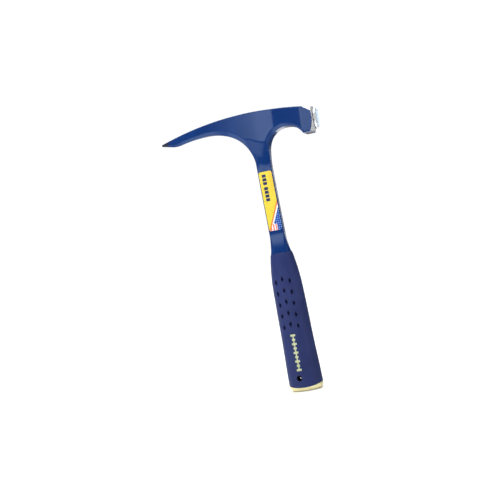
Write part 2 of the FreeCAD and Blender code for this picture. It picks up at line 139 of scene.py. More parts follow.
# %% Sizes of the forging, in millimetres
TOP_Z = 330.0
CREST_X = -18.0
CREST_RADIUS = 395.0
TIP_X = -120.2
TIP_UNDER_Z = 314.4
TIP_HALF = 0.6
POINT = (-108.0, 311.4)
BELLY = (-96.0, 310.9)
BELLY_RADIUS = 30.0
HOLLOW_RADIUS = 180.0
ARCH_PEAK = (-62.0, 314.1)
ARCH_RADIUS = 62.0
ARCH_TURN = math.radians(31.2)
EYE_HALF = 9.8
EYE_START_X = 2.0
EYE_END_X = 21.0
POLL_HALF = 14.25
CREASE_X = 55.5
SHANK_HALF = 8.8
SHANK_THICK = 4.75
HEEL_X = 55.0
HEEL_BEND_Z = 256.0
HEEL_BEND_RADIUS = 228.0
HEEL_BEND_TURN = math.radians(7.05)
HEEL_RADIUS = 23.7
FACE_X = 72.5
FACE_Z = 307.9
FACE_RADIUS = 12.1
FACE_TILT = math.radians(3.5)
FACE_CROWN = 0.25
RIM_DEPTH = 3.0
RIM_DROP = 1.5
BEVEL_SLOPE = math.tan(math.radians(63.4))
CORNER_RADIUS = 15.2
CORNER_SLOPE = math.tan(math.radians(20.8))
SHOULDER_TOP_Z = 186.0
GRIP_TOP_Z = 161.0


# %% Arcs and paths
def arc(start, end, radius, step=0.9):
    """Points on the arc from start to end.  Its centre is sqrt(r^2 - (chord / 2)^2) from the
    middle of the chord, on its left for an anticlockwise arc (r > 0) and else on its right."""
    start = np.array(start, float)
    end = np.array(end, float)
    chord = end - start
    half = np.hypot(*chord) / 2
    left = np.array([-chord[1], chord[0]]) / (2 * half)
    side = math.copysign(1, radius)
    centre = (start + end) / 2 + side * left * math.sqrt(radius ** 2 - half ** 2)
    turn = 2 * math.asin(half / abs(radius)) * side
    angle = math.atan2(start[1] - centre[1], start[0] - centre[0])
    angles = angle + np.linspace(0, turn, max(3, int(abs(turn * radius) / step) + 1))
    return centre + abs(radius) * np.column_stack([np.cos(angles), np.sin(angles)])


def line(start, end, step=0.9):
    """Evenly spaced points on a straight run."""
    count = max(3, int(math.dist(start, end) / step) + 1)
    return np.linspace(start, end, count)


def path(*runs):
    """Runs joined end to end, each shared corner once."""
    return np.concatenate([runs[0]] + [run[1:] for run in runs[1:]])


def crest(x):
    """Height of the head's top edge: the upper half of a large circle."""
    return TOP_Z - CREST_RADIUS + np.sqrt(CREST_RADIUS ** 2 - (x - CREST_X) ** 2)


TURN_POINT = (ARCH_PEAK[0] + ARCH_RADIUS * math.sin(ARCH_TURN),
              ARCH_PEAK[1] - ARCH_RADIUS * (1 - math.cos(ARCH_TURN)))
NECK_RADIUS = (-SHANK_HALF - TURN_POINT[0]) / (1 - math.sin(ARCH_TURN))
NECK_Z = TURN_POINT[1] - NECK_RADIUS * math.cos(ARCH_TURN)
pick_path = path(
    line((TIP_X, TIP_UNDER_Z), POINT),
    arc(POINT, BELLY, BELLY_RADIUS),
    arc(BELLY, ARCH_PEAK, -HOLLOW_RADIUS),
    arc(ARCH_PEAK, TURN_POINT, -ARCH_RADIUS),
    arc(TURN_POINT, (-SHANK_HALF, NECK_Z), -NECK_RADIUS))


# %% The heel arch and the underside of the poll
def poll_radius(back, up):
    """Radius of the turned surface: the rounded rim of the face, then the steep bevel, and over
    the two upper corners a gentle cone, whichever is smaller."""
    rim_share = np.clip(1 - back / RIM_DEPTH, 0, 1)
    rim = FACE_RADIUS - RIM_DROP * (1 - np.sqrt(1 - rim_share ** 2))
    steep = rim + BEVEL_SLOPE * np.maximum(back - RIM_DEPTH, 0)
    gentle = CORNER_RADIUS + CORNER_SLOPE * (back - RIM_DEPTH)
    return np.where(up > 0, soft_min(steep, gentle, 0.4), steep)


def poll_place(x, z):
    """How far (x, z) is behind the face, and how far above the poll's own tilted axis."""
    back = (FACE_X - x) * math.cos(FACE_TILT) + (z - FACE_Z) * math.sin(FACE_TILT)
    up = (x - FACE_X) * math.sin(FACE_TILT) + (z - FACE_Z) * math.cos(FACE_TILT)
    return back, up


def poll_edge(back, side):
    """Where the turned surface meets the middle plane, above (+1) or below (-1) the axis."""
    up = side * poll_radius(back, side)
    return np.column_stack([FACE_X - back * math.cos(FACE_TILT) + up * math.sin(FACE_TILT),
                            FACE_Z + back * math.sin(FACE_TILT) + up * math.cos(FACE_TILT)])


HEEL_TURN = (SHANK_HALF + HEEL_BEND_RADIUS * (1 - math.cos(HEEL_BEND_TURN)),
             HEEL_BEND_Z + HEEL_BEND_RADIUS * math.sin(HEEL_BEND_TURN))
heel_centre = (HEEL_TURN[0] + HEEL_RADIUS * math.cos(HEEL_BEND_TURN),
               HEEL_TURN[1] - HEEL_RADIUS * math.sin(HEEL_BEND_TURN))
HEEL = (HEEL_X, heel_centre[1] + math.sqrt(HEEL_RADIUS ** 2 - (HEEL_X - heel_centre[0]) ** 2))
heel_arch = arc(HEEL_TURN, HEEL, -HEEL_RADIUS, step=0.7)
low_bevel = poll_edge(np.linspace(RIM_DEPTH + 3, 0, 40), -1)
low_bevel = low_bevel[low_bevel[:, 1] > HEEL[1] + 0.1]
heel_path = path(heel_arch, line(HEEL, (low_bevel[0, 0] - 0.1, HEEL[1]), step=0.55), low_bevel)
print(f"pick path {len(pick_path)} points, heel path {len(heel_path)} points, neck z {NECK_Z:.2f}")

# %% [markdown]
# ## The thickness of the forging
# The hammer is the same on both sides of its middle plane, so its whole shape is one function: the
# half thickness over a point (x, z) of the outline.  It starts as the plan seen from above, and is
# then trimmed by the facets: the long chamfers under the pick and in the heel arch, the hollow
# scoops where the head thins down to the shank, the cone turned on the poll, and the small
# rounding along every outer edge.

# %% Plan, scoop, cone and chamfers
def distance_to(points, route):
    """Distance from each point to the nearest segment of a route, and that place's x."""
    start = route[:-1]
    along = route[1:] - start
    gap = points[:, None, :] - start[None, :, :]
    t = np.clip((gap * along).sum(-1) / (along ** 2).sum(-1), 0, 1)
    nearest = start + t[..., None] * along
    away = np.hypot(*np.moveaxis(points[:, None, :] - nearest, -1, 0))
    best = away.argmin(axis=1)
    rows = np.arange(len(points))
    return away[rows, best], nearest[rows, best, 0]


def plan(x, z):
    """Half thickness from above: a pick that swells towards the eye as 1 - (1 - t)^1.25, a flat
    waist, a straight flare and a flat block, the last two leaning with the tilted face."""
    t = np.clip((x - TIP_X) / (EYE_START_X - TIP_X), 0, 1)
    pick = TIP_HALF + (EYE_HALF - TIP_HALF) * (1 - (1 - t) ** 1.25)
    leaned = x - np.tan(FACE_TILT) * (z - FACE_Z)
    flare = EYE_HALF + (POLL_HALF - EYE_HALF) * (leaned - EYE_END_X) / (CREASE_X - EYE_END_X)
    return soft_min(soft_max(pick, flare, 0.25), POLL_HALF + 0 * x, 0.2)


SCOOP_RADIUS = 80.0
SCOOP_END_Z = 265.5
SCOOP_LEAN = 0.42
SCOOP_CROWN = 0.75


def scoop(x, z):
    """The hollow down to the shank: a circle tangent to the shank's flat, leaning with x, and
    crowned a little across, so that its two halves face apart."""
    height = z - SCOOP_END_Z + SCOOP_LEAN * np.clip(x, -20, HEEL_X)
    rise = SCOOP_RADIUS - np.sqrt(SCOOP_RADIUS ** 2 - np.clip(height, 0, 60) ** 2)
    share = np.clip(x / SHANK_HALF, -1, 1)
    crown = SCOOP_CROWN * share ** 2 * soft_step(258, 272, z)
    return SHANK_THICK + rise - crown


def cone(x, z):
    """The turned end of the poll: sqrt(R^2 - w^2), where R is its radius that far back from the
    face and w is the height above the poll's own axis."""
    back, up = poll_place(x, z)
    return np.sqrt(np.maximum(poll_radius(back, up) ** 2 - up ** 2, 0))


def facet(thickness, distance, width, slope=0.75):
    """A chamfer `width` wide: it takes slope * width off at the edge and nothing at its end."""
    drop = np.minimum(slope * width, 0.75 * thickness)
    return thickness - drop * (1 - distance / width)


def head_half(x, z):
    """Half thickness of the head and neck at arrays of points (x, z)."""
    points = np.column_stack([x.ravel(), z.ravel()])
    under, under_x = (field.reshape(x.shape) for field in distance_to(points, pick_path))
    heel, heel_x = (field.reshape(x.shape) for field in distance_to(points, heel_path))
    base = plan(x, z)
    under_width = np.interp(under_x, [-120, -108, -95, -75, -60, -30, -8.8],
                            [0.8, 2.2, 3.4, 3.5, 4.2, 5.0, 5.2])
    heel_width = np.interp(heel_x, [10.5, 30, 40, 54, 57], [4.0, 4.0, 2.6, 2.0, 0.9])
    half = soft_min(base, facet(base, under, under_width), 0.35)
    half = soft_min(half, facet(base, heel, heel_width), 0.35)
    half = soft_min(half, scoop(x, z), 0.5)
    top_radius = np.minimum(np.interp(x, [-118, 40, 57], [1.0, 1.2, 1.7]), 0.45 * base)
    half = half - round_off(crest(x) - z, top_radius)
    half = half - round_off(np.minimum(under, heel), 0.5)
    half = np.maximum(half, 0.15 * base)
    return np.maximum(soft_min(half, cone(x, z), 0.12), 0)


# %% [markdown]
# ## Sewing the forging together
# Two grids cover one side.  The head's grid has a column for each point of the underside, from the
# tip of the pick to the face, and rows that gather near the edges where the rounding is.  The
# shank's grid carries on down from a slanted line across the neck, through the shoulder that
# swells to meet the grip, to the end of the tang.  The other side is the mirror image, and a
# ribbon round the whole outline closes the two into one body.

# %% The head's grid
def gather(count, pull=0.8):
    """Steps from 0 to 1 that crowd towards both ends, as (1 - cos(pi t)) / 2 does."""
    t = np.linspace(0, 1, count)
    return (1 - pull) * t + pull * (1 - np.cos(math.pi * t)) / 2


def right_edge(z):
    """Where the shank's edge under the heel arch runs: straight, then on a very large circle."""
    rise = np.clip(z - HEEL_BEND_Z, 0, HEEL_TURN[1] - HEEL_BEND_Z)
    return SHANK_HALF + HEEL_BEND_RADIUS - np.sqrt(HEEL_BEND_RADIUS ** 2 - rise ** 2)


shares = 2 * gather(45, 0.9) - 1
neck_z = NECK_Z + (HEEL_TURN[1] - NECK_Z) * (shares + 1) / 2
neck_x = np.where(shares > 0, shares * right_edge(neck_z), shares * SHANK_HALF)
neck_path = np.column_stack([neck_x, neck_z])
low = path(pick_path, neck_path, heel_path)
lean = soft_step(25, 58, low[:, 0]) * math.tan(FACE_TILT)
high_x = low[:, 0] + lean * (crest(low[:, 0]) - low[:, 1])
high_bevel = poll_edge(np.linspace(12, 0, 200), 1)
high_x[-1] = high_bevel[-1, 0]
high_x = np.minimum(high_x, high_x[-1])
cone_top = np.interp(high_x, high_bevel[:, 0], high_bevel[:, 1], left=TOP_Z)
high = np.column_stack([high_x, np.minimum(crest(high_x), cone_top)])
rows = gather(76)[:, None]
head_x = low[None, :, 0] * (1 - rows) + high[None, :, 0] * rows
head_z = low[None, :, 1] * (1 - rows) + high[None, :, 1] * rows
head_y = head_half(head_x, head_z)
print("head grid", head_x.shape, "half thickness up to", round(float(head_y.max()), 2))


# %% The shank's grid
SHOULDER_WIDER = 4.1
SHOULDER_THICKER = 3.35
SHANK_CORNER = 0.6
SHOULDER_CORNER = 7.3
TANG_HALF_THICKNESS = 2.5
TANG_END_Z = 3.0


def shank_half(across, z):
    """Half width, and half thickness at a share -1..1 of that width.  Both swell through the
    shoulder as t^1.6, and the corner's radius as t^1.25."""
    t = np.clip((SHOULDER_TOP_Z - z) / (SHOULDER_TOP_Z - GRIP_TOP_Z), 0, 1)
    width = np.where(across > 0, right_edge(z), SHANK_HALF) + SHOULDER_WIDER * t ** 1.6
    thick = SHANK_THICK + SHOULDER_THICKER * t ** 1.6
    corner = SHANK_CORNER + SHOULDER_CORNER * t ** 1.25
    x = across * width
    return x, np.where(t > 0, thick, scoop(x, z)) - round_off(width - np.abs(x), corner)


levels = np.concatenate([np.linspace(HEEL_BEND_Z, SHOULDER_TOP_Z, 40),
                         np.linspace(SHOULDER_TOP_Z - 0.4, GRIP_TOP_Z, 52)])
blend_rows = np.linspace(0, 1, 16)[:-1, None]
top_z = neck_path[None, :, 1] * (1 - blend_rows) + (HEEL_BEND_Z + 0.5) * blend_rows
shank_z = np.concatenate([top_z, np.repeat(levels[:, None], len(shares), axis=1)])
shank_x, shank_y = shank_half(shares[None, :], shank_z)
# the top rows fade into the head's own thickness along the neck
neck_y = head_half(neck_path[:, 0], neck_path[:, 1])
fade = np.linspace(1, 0, 8)[:, None]
shank_y[:8] += fade * (neck_y - shank_y[0])
shank_y[0] = neck_y
tang_z = np.repeat(np.linspace(GRIP_TOP_Z, TANG_END_Z, 60)[:, None], len(shares), axis=1)
tang_x = np.repeat(SHANK_HALF * shares[None, :], len(tang_z), axis=0)
tang_y = np.full(tang_z.shape, TANG_HALF_THICKNESS)
shank_x, shank_y, shank_z = (np.concatenate(pair) for pair in (
    (shank_x, tang_x), (shank_y, tang_y), (shank_z, tang_z)))
print("shank grid", shank_x.shape)

# %% The ribbon round the outline
first_neck = len(pick_path) - 1
last_neck = first_neck + len(neck_path) - 1
loop = [
    (head_x[-1], head_y[-1], head_z[-1]),
    (head_x[::-1, -1], head_y[::-1, -1], head_z[::-1, -1]),
    (head_x[0, :last_neck - 1:-1], head_y[0, :last_neck - 1:-1], head_z[0, :last_neck - 1:-1]),
    (shank_x[:, -1], shank_y[:, -1], shank_z[:, -1]),
    (shank_x[-1, ::-1], shank_y[-1, ::-1], shank_z[-1, ::-1]),
    (shank_x[::-1, 0], shank_y[::-1, 0], shank_z[::-1, 0]),
    (head_x[0, first_neck::-1], head_y[0, first_neck::-1], head_z[0, first_neck::-1]),
    (head_x[:, 0], head_y[:, 0], head_z[:, 0]),
]
loop_x, loop_y, loop_z = (np.concatenate([run[axis][:-1] for run in loop]) for axis in range(3))
across = np.linspace(-1, 1, 15)[:, None]
ribbon_y = across * loop_y
ribbon_x = np.repeat(loop_x[None], len(across), axis=0)
ribbon_z = np.repeat(loop_z[None], len(across), axis=0)

# the face is crowned: it stands out by FACE_CROWN (1 - r^2 / R^2)
face_back, face_up = poll_place(ribbon_x, ribbon_z)
from_middle = (face_up ** 2 + ribbon_y ** 2) / (FACE_RADIUS - RIM_DROP) ** 2
swell = np.where(np.abs(face_back) < 1e-3, FACE_CROWN * (1 - from_middle), 0)
ribbon_x = ribbon_x + np.maximum(swell, 0)

forging = sew("forging", [
    (head_x, -head_y, head_z, False), (head_x, head_y, head_z, False),
    (shank_x, -shank_y, shank_z, False), (shank_x, shank_y, shank_z, False),
    (ribbon_x, ribbon_y, ribbon_z, True)], crease=28)

# %% [markdown]
# ## The grip
# The grip is an oval carried up the handle.  The oval is four tangent arcs, written by the
# direction its surface faces: a small circle round each end and a large one over each face.  Its
# size is a smooth curve through a few stations, and near the butt the whole oval shrinks by the
# quarter circle of the rounded edge.  The lozenge pockets are pressed in as a function of x and z.

# %% The oval and its stations
STATIONS_Z = np.array([-8.0, 12.0, 60.0, 105.0, 132.0, 150.0, 164.0, 172.0])
STATIONS_A = np.array([20.1, 20.1, 18.8, 18.1, 17.2, 15.2, 12.9, 11.6])
STATIONS_B = np.array([14.4, 14.4, 13.7, 13.3, 12.7, 10.9, 8.4, 6.9])
BUTT_EDGE = 7.0
END_SHARE = 0.92
JOINT_Z = 4.6
JOINT_RADIUS = 74.0


def curve_through(z, heights, values):
    """Smooth curve through stations: cubic runs whose slopes are the mean of the chords'."""
    slopes = np.gradient(values, heights)
    k = np.clip(np.searchsorted(heights, z) - 1, 0, len(heights) - 2)
    span = heights[k + 1] - heights[k]
    t = (z - heights[k]) / span
    rise = values[k + 1] - values[k]
    return (values[k] + rise * (3 * t ** 2 - 2 * t ** 3)
            + span * (slopes[k] * (t - 2 * t ** 2 + t ** 3) + slopes[k + 1] * (t ** 3 - t ** 2)))


def face_circle(half_width, half_thickness, end):
    """Radius of the large circle over each face: (a^2 + b^2 - 2 a e) / (2 (b - e)), which is
    tangent to the end circles of radius e."""
    return ((half_width ** 2 + half_thickness ** 2 - 2 * half_width * end)
            / (2 * (half_thickness - end)))


def oval(facing, half_width, half_thickness, share=END_SHARE):
    """The point of the oval whose surface faces `facing`: an end circle of radius e about
    (a - e, 0), or a face circle of radius F about (0, -(F - b)), whichever faces that way."""
    end = share * half_thickness
    face = face_circle(half_width, half_thickness, end)
    joint = np.arctan2(face - half_thickness, half_width - end)
    cosine = np.cos(facing)
    sine = np.sin(facing)
    on_end = np.abs(np.arctan2(sine, np.abs(cosine))) < joint
    x = np.where(on_end, np.sign(cosine) * (half_width - end) + end * cosine, face * cosine)
    y = np.where(on_end, end * sine, face * sine - np.sign(sine) * (face - half_thickness))
    return x, y


fine = np.linspace(-math.pi, math.pi, 20001)
walk_x, walk_y = oval(fine, 18.5, 13.5)
walked = np.concatenate([[0], np.cumsum(np.hypot(np.diff(walk_x), np.diff(walk_y)))])
FACING = np.interp(np.linspace(0, walked[-1], 229)[:-1], walked, fine)


def joint_z(x):
    """Height of the arched joint between cap and grip."""
    return JOINT_Z + JOINT_RADIUS - np.sqrt(JOINT_RADIUS ** 2 - x ** 2)


def handle_point(facing, z):
    """Point of the handle's outer surface at a height, inside the rounded edge of the butt."""
    x, y = oval(facing, curve_through(z, STATIONS_Z, STATIONS_A),
                curve_through(z, STATIONS_Z, STATIONS_B))
    inset = round_off(z, BUTT_EDGE)
    return x - inset * np.cos(facing), y - inset * np.sin(facing)


# %% Lozenge pockets
MIDDLE_X = -1.8
POCKET_HALF_WIDTH = 1.8
POCKET_HALF_HEIGHT = 3.8
POCKET_DEPTH = 1.25
LOZENGES = [(MIDDLE_X + 8.4 * column, 79.5 - 3.0 * abs(column) + 13.2 * row)
            for column in (-1, 0, 1) for row in range(5)]


def pocket_depth(x, z):
    """How deep the pockets are at (x, z): a lozenge is where |x| / half width + |z| / half height
    is under 1, and its walls fall over about a third of a millimetre."""
    depth = np.zeros_like(x)
    for middle_x, middle_z in LOZENGES:
        inside = 1 - (np.abs(x - middle_x) / POCKET_HALF_WIDTH
                      + np.abs(z - middle_z) / POCKET_HALF_HEIGHT)
        depth = np.maximum(depth, POCKET_DEPTH * soft_step(-0.02, 0.3, inside))
    return depth


# %% The grip's surface
FOOT_Z = 14.0
COLLAR_Z = 163.6
LIP = 0.4
# the rows run on to the collar, just over the rim, and come back down to it
grip_levels = np.concatenate([
    np.linspace(0, 1, 30)[:-1] ** 1.2 * FOOT_Z, np.linspace(FOOT_Z, 68, 50)[:-1],
    np.linspace(68, 140, 181)[:-1], np.linspace(140, COLLAR_Z, 34)[:-1],
    GRIP_TOP_Z - LIP + LIP * np.sin(np.linspace(0, math.pi / 2, 5))])
spread = np.clip((FOOT_Z - grip_levels) / FOOT_Z, 0, 1)[:, None]
facing_grid, level_grid = np.meshgrid(FACING, grip_levels)
outer_x, outer_y = handle_point(facing_grid, np.maximum(level_grid, 5))
outer_z = level_grid + spread * joint_z(outer_x)
for _ in range(3):
    outer_x, outer_y = handle_point(facing_grid, outer_z)
    outer_z = level_grid + spread * joint_z(outer_x)
lip = round_off(GRIP_TOP_Z - level_grid, LIP)
faces_front = np.abs(np.sin(facing_grid)) > 0.6
press = np.where(faces_front, pocket_depth(outer_x, outer_z), 0)
foot = 0.25 * (1 - soft_step(0, 0.5, outer_z - joint_z(outer_x)))
outer_x = outer_x - (lip + foot) * np.cos(facing_grid)
outer_y = outer_y - (lip + foot) * np.sin(facing_grid) - press * np.sign(np.sin(facing_grid))


def ring(half_width, half_thickness, z, share=END_SHARE):
    """One ring of the inside, at a height that may follow the arched joint."""
    x, y = oval(FACING, half_width, half_thickness, share)
    return x, y, np.full_like(x, z) if z is not None else joint_z(x)


CORE_TOP_Z = 155.0
CORE_HALF = (10.5, 5.5)
TANG_ROOM_HALF = (8.7, 2.7)
inside = [ring(*TANG_ROOM_HALF, z, 0.9) for z in (GRIP_TOP_Z, CORE_TOP_Z)]
inside += [ring(*CORE_HALF, z) for z in (CORE_TOP_Z, *np.linspace(140, 12, 9), None)]
shell_rows = [np.concatenate([outer, np.array([row[axis] for row in inside]), outer[:1]])
              for axis, outer in enumerate((outer_x, outer_y, outer_z))]
grip = sew("grip", [(*shell_rows, True)], crease=40)

# %% [markdown]
# ## The end cap
# The cap is the cream end of the handle: the same rounded butt, cut off by the arched joint.  It
# is one stack of rings, which starts in the middle of the small flat, runs out and up round the
# edge, and closes over the joint.

# %% The cap's surface
shares_up = np.linspace(0, 1, 26) ** 1.5
facing_cap, share_cap = np.meshgrid(FACING[::2], shares_up)
cap_z = share_cap * 5
for _ in range(6):
    cap_x, cap_y = handle_point(facing_cap, np.maximum(cap_z, 1e-6))
    cap_z = share_cap * joint_z(cap_x)
edge = 0.3 * soft_step(0.9, 1, share_cap) ** 2
cap_x = cap_x - edge * np.cos(facing_cap)
cap_y = cap_y - edge * np.sin(facing_cap)
shrink = np.linspace(0, 1, 8)[:-1, None]
under = (cap_x[0] * shrink, cap_y[0] * shrink, cap_z[0] * shrink)
over_x = cap_x[-1] * shrink[::-1]
over = (over_x, cap_y[-1] * shrink[::-1], joint_z(over_x))
cap_rows = [np.concatenate([under[axis], body, over[axis]])
            for axis, body in enumerate((cap_x, cap_y, cap_z))]
cap = sew("cap", [(*cap_rows, True)], crease=40)

# %% [markdown]
# ## The lanyard hole
# The hole runs straight through grip, core and tang.  It is the one place where cutting is the
# simplest way: a closed tube is worked out, taken away from the grip and the forging with a
# boolean, and then removed from the scene.

# %% Cutting the hole
def drill(pieces, x, z, radius, flare):
    """Takes a tube along y out of each piece.  The tube widens by a quarter circle of radius
    `flare` at the handle's surface, which softens the rim of the hole."""
    turn_angles = np.linspace(0, 2 * math.pi, 57)[:-1]
    reach = 14.35
    bend = np.linspace(0, math.pi / 2, 7)
    half = np.concatenate([[0], reach - flare + flare * np.sin(bend), [reach + 2]])
    wide = np.concatenate([[radius], radius + flare * (1 - np.cos(bend)), [radius + flare]])
    depth = np.concatenate([[-reach - 2], -half[::-1], half[1:], [reach + 2]])
    widths = np.concatenate([[0], wide[::-1], wide[1:], [0]])
    angle, depth_grid = np.meshgrid(turn_angles, depth)
    width_grid = np.repeat(widths[:, None], len(turn_angles), axis=1)
    tube = sew("tube", [(x + width_grid * np.cos(angle), depth_grid,
                         z + width_grid * np.sin(angle), True)])
    for piece in pieces:
        cut = piece.modifiers.new("hole", "BOOLEAN")
        cut.object = tube
        cut.operation = "DIFFERENCE"
        cut.solver = "EXACT"
        graph = bpy.context.evaluated_depsgraph_get()
        drilled = bpy.data.meshes.new_from_object(piece.evaluated_get(graph))
        piece.modifiers.clear()
        piece.data = drilled
        print(f"{piece.name}: {len(drilled.polygons)} faces with the hole")
    bpy.data.objects.remove(tube)


HOLE_X = -3.4
HOLE_Z = 16.0
HOLE_RADIUS = 3.1
drill([grip, forging], HOLE_X, HOLE_Z, HOLE_RADIUS, 0.5)

# a value on each point of the grip: 1 down in a pocket, 0 on the surface
spots = np.array([vertex.co for vertex in grip.data.vertices]) / MM
sunk = np.where(np.abs(spots[:, 1]) > 8, pocket_depth(spots[:, 0], spots[:, 2]) / 1.25, 0)
grip.data.attributes.new("sunk", "FLOAT", "POINT").data.foreach_set("value", sunk)
print(f"{int((sunk > 0.5).sum())} points lie in the pockets")

# %% [markdown]
# ## The graduated mark
# A pale inlay runs down each face of the grip: a spine with long and short bars across it, like
# the divisions of a rule.  It is a grid draped over the grip's own surface, with grid lines along
# every bar's edge.  The cells between the bars are left out, and Solidify gives it thickness.

# %% Draping the mark on the grip
MARK_LOW = 24.5
MARK_HIGH = 67.5
BAR = 2.4
LONG_HALF = 2.9
SHORT_HALF = 1.9
SPINE_HALF = 0.7
MARK_RISE = 0.1
MARK_STEP = (MARK_HIGH - MARK_LOW - BAR) / 4


def split(edges, step):
    """Grid lines through every edge, with even steps between them."""
    edges = np.unique(np.round(edges, 4))
    runs = [np.linspace(a, b, max(2, int((b - a) / step) + 1))[:-1]
            for a, b in zip(edges[:-1], edges[1:])]
    return np.concatenate(runs + [edges[-1:]])


def surface_y(x, z):
    """Half thickness of the grip over (x, z) near its middle line: b less the face's sagitta."""
    half_width = curve_through(z, STATIONS_Z, STATIONS_A)
    half = curve_through(z, STATIONS_Z, STATIONS_B)
    face = face_circle(half_width, half, END_SHARE * half)
    return half - (face - np.sqrt(face ** 2 - x ** 2))


def drape_mark(name, side):
    """The mark on one face (side -1 or +1), from the cells that lie on the spine or a bar."""
    bars = [(MARK_LOW + MARK_STEP * n, LONG_HALF) for n in range(5)]
    bars += [(MARK_LOW + MARK_STEP * (n + 0.5), SHORT_HALF) for n in range(4)]
    x = split([sign * half for sign in (-1, 1) for half in (LONG_HALF, SHORT_HALF, SPINE_HALF)], 0.5)
    z = split([edge for low_z, _ in bars for edge in (low_z, low_z + BAR)], 0.6)
    grid_x, grid_z = np.meshgrid(x, z)
    middle_x, middle_z = np.meshgrid((x[1:] + x[:-1]) / 2, (z[1:] + z[:-1]) / 2)
    kept = np.abs(middle_x) < SPINE_HALF
    for low_z, half_width in bars:
        in_bar = (middle_z > low_z) & (middle_z < low_z + BAR) & (np.abs(middle_x) < half_width)
        kept = kept | in_bar
    faces = grid_faces(*grid_x.shape)[kept.ravel()]
    place_x = grid_x + MIDDLE_X
    points = np.stack([place_x, side * (surface_y(place_x, grid_z) + MARK_RISE), grid_z], axis=-1)
    mesh = bpy.data.meshes.new(name)
    mesh.from_pydata((points.reshape(-1, 3) * MM).tolist(), [], faces[:, ::-side].tolist())
    shell = bmesh.new()
    shell.from_mesh(mesh)
    loose = [vertex for vertex in shell.verts if not vertex.link_faces]
    bmesh.ops.delete(shell, geom=loose, context="VERTS")
    shell.to_mesh(mesh)
    shell.free()
    piece = new_object(name, mesh)
    wall = piece.modifiers.new("thickness", "SOLIDIFY")
    wall.thickness = 0.7 * MM
    wall.offset = -1
    soft = piece.modifiers.new("soft_edge", "BEVEL")
    soft.width = 0.07 * MM
    soft.segments = 2
    soft.limit_method = "ANGLE"
    mesh.shade_smooth()
    mesh.set_sharp_from_angle(angle=math.radians(35))
    print(f"{name}: {len(mesh.polygons)} cells kept")
    return piece


mark_front = drape_mark("mark_front", -1)
mark_back = drape_mark("mark_back", 1)

# %% [markdown]
# ## Node trees in a few lines
# The finishes are node trees.  A few short helpers keep them readable: one adds a node with its
# settings and inputs, and the others do sums, mix colours and make soft steps.

# %% Helpers for nodes
def feed(tree, node, inputs):
    """Fills a node's inputs: a socket is linked, and a number or a colour is set."""
    for name, value in inputs.items():
        if isinstance(value, bpy.types.NodeSocket):
            tree.links.new(value, node.inputs[name])
        else:
            node.inputs[name].default_value = value


def put(tree, kind, inputs=None, **settings):
    """Adds a node, with its settings and its inputs."""
    node = tree.nodes.new(kind)
    for name, value in settings.items():
        setattr(node, name, value)
    feed(tree, node, inputs or {})
    return node


def sums(tree, operation, *values):
    """The result of one Math node over numbers and sockets."""
    return put(tree, "ShaderNodeMath", dict(enumerate(values)), operation=operation).outputs[0]


def add(tree, first, second):
    return sums(tree, "ADD", first, second)


def less(tree, first, second):
    """The first less the second."""
    return sums(tree, "SUBTRACT", first, second)


def times(tree, product, *factors):
    """All the factors multiplied together."""
    for factor in factors:
        product = sums(tree, "MULTIPLY", product, factor)
    return product


def mix(tree, share, first, second):
    """A colour between two others."""
    node = put(tree, "ShaderNodeMix", {0: share, 6: first, 7: second}, data_type="RGBA")
    return node.outputs[2]


def ramp(tree, value, low_value, high_value):
    """0 at low_value and 1 at high_value, smoothly, and level beyond them."""
    given = {"Value": value, "From Min": low_value, "From Max": high_value}
    node = put(tree, "ShaderNodeMapRange", given, interpolation_type="SMOOTHSTEP")
    return node.outputs["Result"]


def finish(name):
    """A new material, its tree and its Principled shader."""
    material = bpy.data.materials.new(name)
    material.use_nodes = True
    tree = material.node_tree
    shader = tree.nodes["Principled BSDF"]
    return material, tree, shader


def place(tree):
    """Object coordinates in millimetres, as a vector and as x, y, z."""
    where = put(tree, "ShaderNodeTexCoord").outputs["Object"]
    scaled = put(tree, "ShaderNodeVectorMath", {0: where, "Scale": 1000.0}, operation="SCALE")
    parts = put(tree, "ShaderNodeSeparateXYZ", {0: scaled.outputs[0]})
    return scaled.outputs[0], parts.outputs[0], parts.outputs[1], parts.outputs[2]


# %% [markdown]
# ## Shared effects
# Three effects turn up on several finishes, so each is a node group: fine grain for a bump, a
# slow drift of tone, and faint scuffs.  A group only gives out heights and masks, and the shader
# itself stays in each material.

# %% Grain, drift and scuffs
def new_group(name, inputs, output):
    """A node group with float inputs (name, default), a Place vector and one float output."""
    group = bpy.data.node_groups.new(name, "ShaderNodeTree")
    group.interface.new_socket("Place", in_out="INPUT", socket_type="NodeSocketVector")
    for label, value in inputs:
        socket = group.interface.new_socket(label, in_out="INPUT", socket_type="NodeSocketFloat")
        socket.default_value = value
    group.interface.new_socket(output, in_out="OUTPUT", socket_type="NodeSocketFloat")
    return group, put(group, "NodeGroupInput").outputs, put(group, "NodeGroupOutput").inputs


def make_grain():
    """Grain: two layers of noise, the second four times finer and half as strong."""
    group, given, wanted = new_group("grain", [("Per millimetre", 2.0), ("Depth", 1.0)], "Height")
    coarse = put(group, "ShaderNodeTexNoise",
                 {"Vector": given["Place"], "Scale": given["Per millimetre"], "Detail": 2.0})
    finer = times(group, given["Per millimetre"], 4.0)
    small = put(group, "ShaderNodeTexNoise",
                {"Vector": given["Place"], "Scale": finer, "Detail": 1.0})
    half = times(group, small.outputs[0], 0.5)
    both = add(group, coarse.outputs[0], half)
    group.links.new(times(group, both, given["Depth"]), wanted["Height"])
    return group


def make_drift():
    """Drift: a slow noise turned into a share between 0 and 1."""
    group, given, wanted = new_group("drift", [("Per millimetre", 0.03)], "Share")
    slow = put(group, "ShaderNodeTexNoise",
               {"Vector": given["Place"], "Scale": given["Per millimetre"], "Detail": 3.0})
    group.links.new(ramp(group, slow.outputs[0], 0.35, 0.65), wanted["Share"])
    return group


